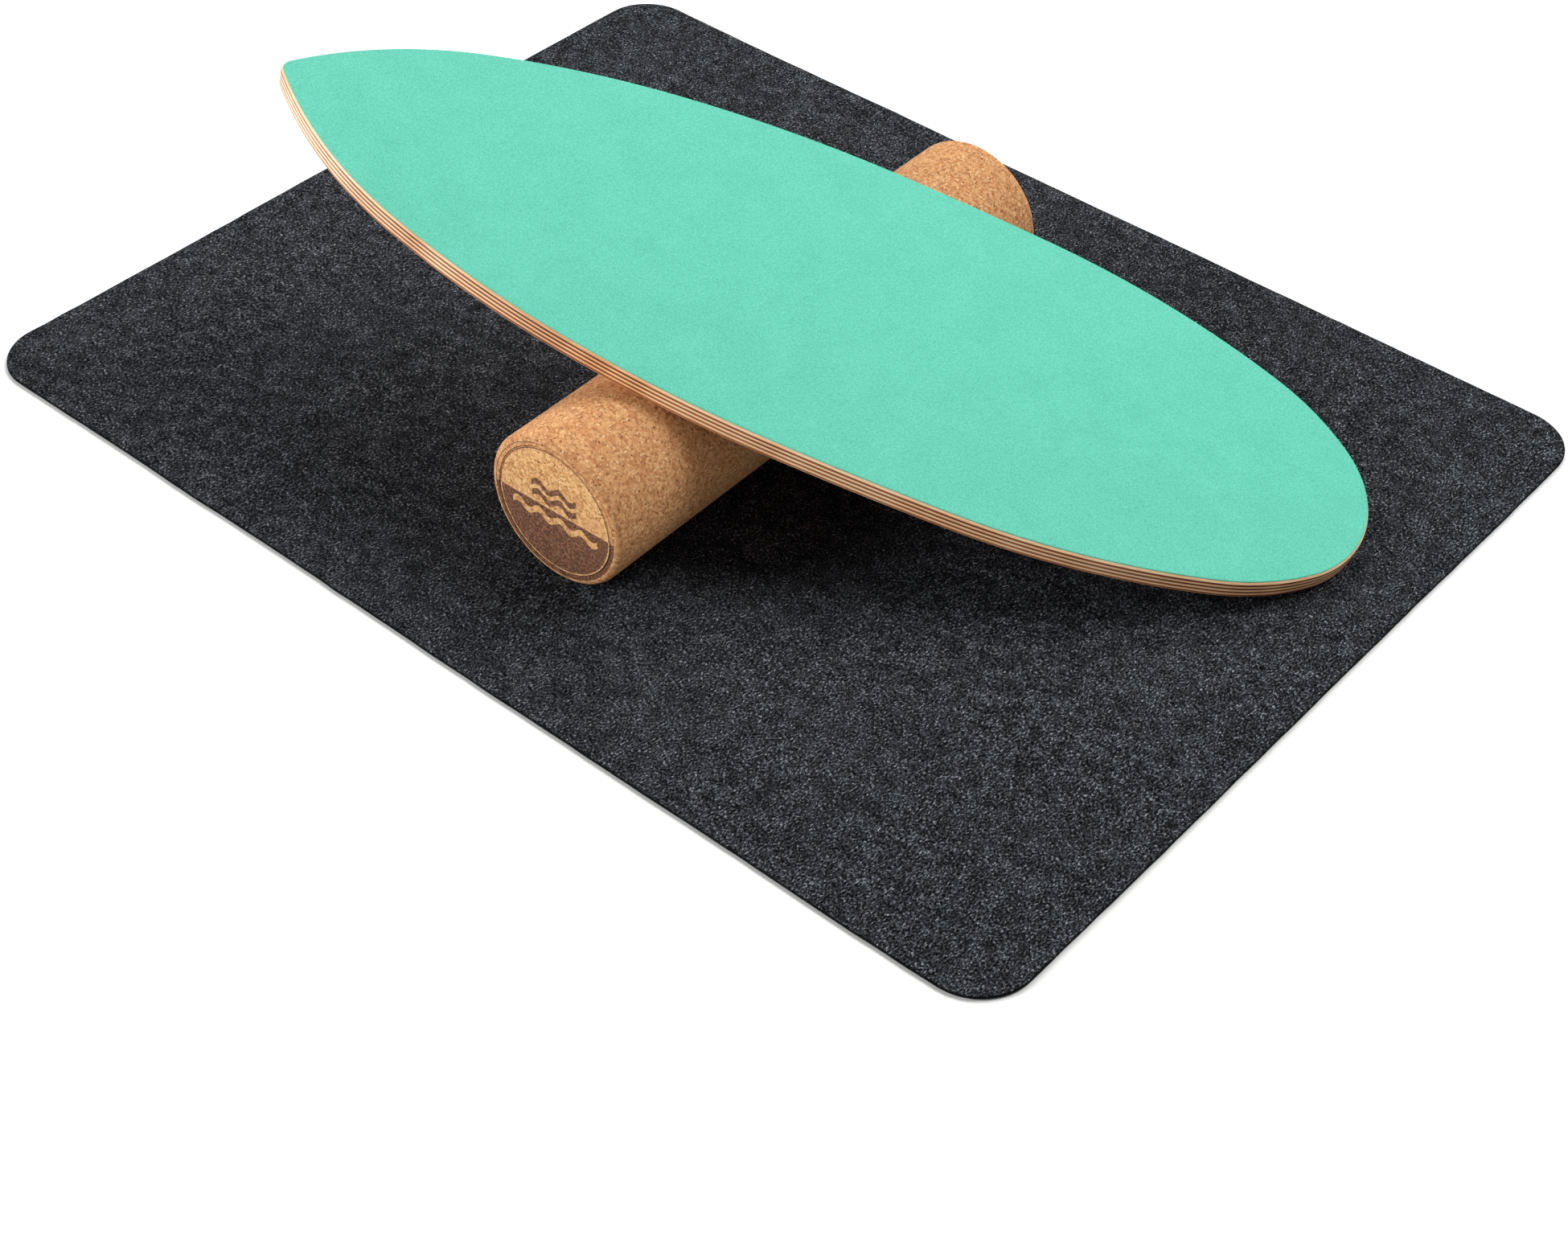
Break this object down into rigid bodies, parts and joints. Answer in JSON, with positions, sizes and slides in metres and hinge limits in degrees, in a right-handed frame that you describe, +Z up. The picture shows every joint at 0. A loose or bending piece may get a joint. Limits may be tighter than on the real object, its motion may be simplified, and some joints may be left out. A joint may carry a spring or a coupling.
{
  "type": "balance board",
  "caption": "Plywood balance deck with a green non-slip top, a cork roller with closed ends and a grey felt floor mat.",
  "frame": {"origin": "centre of the underside of the felt mat", "axes": "+X along the mat's long side towards the deck's tail, +Y along the roller away from the user, +Z up"},
  "size_m": [0.885, 0.68, 0.2233],
  "materials": {
    "felt": "needled felt, dark grey mixed fibres",
    "grip_dots": "small soft grip dots under the felt",
    "core_plastic": "extruded hard plastic tube",
    "cork": "sanded agglomerated cork",
    "cork_end": "sanded cork, with a burnt half-round mark",
    "grip_coat": "mint green fine-grained non-slip coat",
    "maple_light": "oiled maple veneer, sanded edge",
    "maple_dark": "brown veneer, sanded edge",
    "beech": "oiled beech",
    "rubber": "moulded rubber strip",
    "screw_steel": "zinc-plated steel",
    "insert_brass": "turned brass"
  },
  "bodies": {
    "mat": {"mat_felt": "felt", "mat_grip_layer": "grip_dots"},
    "roller_core": {"roller_core_tube": "core_plastic"},
    "roller": {"roller_cork_sleeve": "cork", "roller_end_disc_near": "cork_end", "roller_end_disc_far": "cork_end"},
    "deck": {"deck_grip_coat": "grip_coat", "deck_ply_1": "maple_light", "deck_ply_2": "maple_dark", "deck_ply_3": "maple_light", "deck_ply_4": "maple_dark", "deck_ply_5": "maple_light", "deck_ply_6": "maple_dark", "deck_ply_7": "maple_light", "deck_ply_8": "maple_dark", "deck_ply_9": "maple_light", "stop_bar_nose": "beech", "stop_bar_tail": "beech", "stop_cushion_nose": "rubber", "stop_cushion_tail": "rubber", "stop_screws_nose": "screw_steel", "stop_screws_tail": "screw_steel", "stop_inserts_nose": "insert_brass", "stop_inserts_tail": "insert_brass"}
  },
  "joints": [
    {"name": "roller_travel", "type": "slide", "parent": "mat", "child": "roller_core", "axis": [0.9998, 0.0209, 0], "range_m": [-0.16, 0.16]},
    {"name": "roller_turn", "type": "hinge", "parent": "roller_core", "child": "roller", "pos_m": [0.0109, -0.0154, 0.0589], "axis": [-0.0209, 0.9998, 0], "range_deg": [-168, 168]},
    {"name": "deck_rock", "type": "hinge", "parent": "roller_core", "child": "deck", "pos_m": [0.0109, -0.0154, 0.0589], "axis": [0.0209, -0.9998, 0], "range_deg": [0, 34.9]}
  ],
  "couplings": [
    {"joint": "roller_turn", "follows": "roller_travel", "rad_per_m": 18.182}
  ]
}
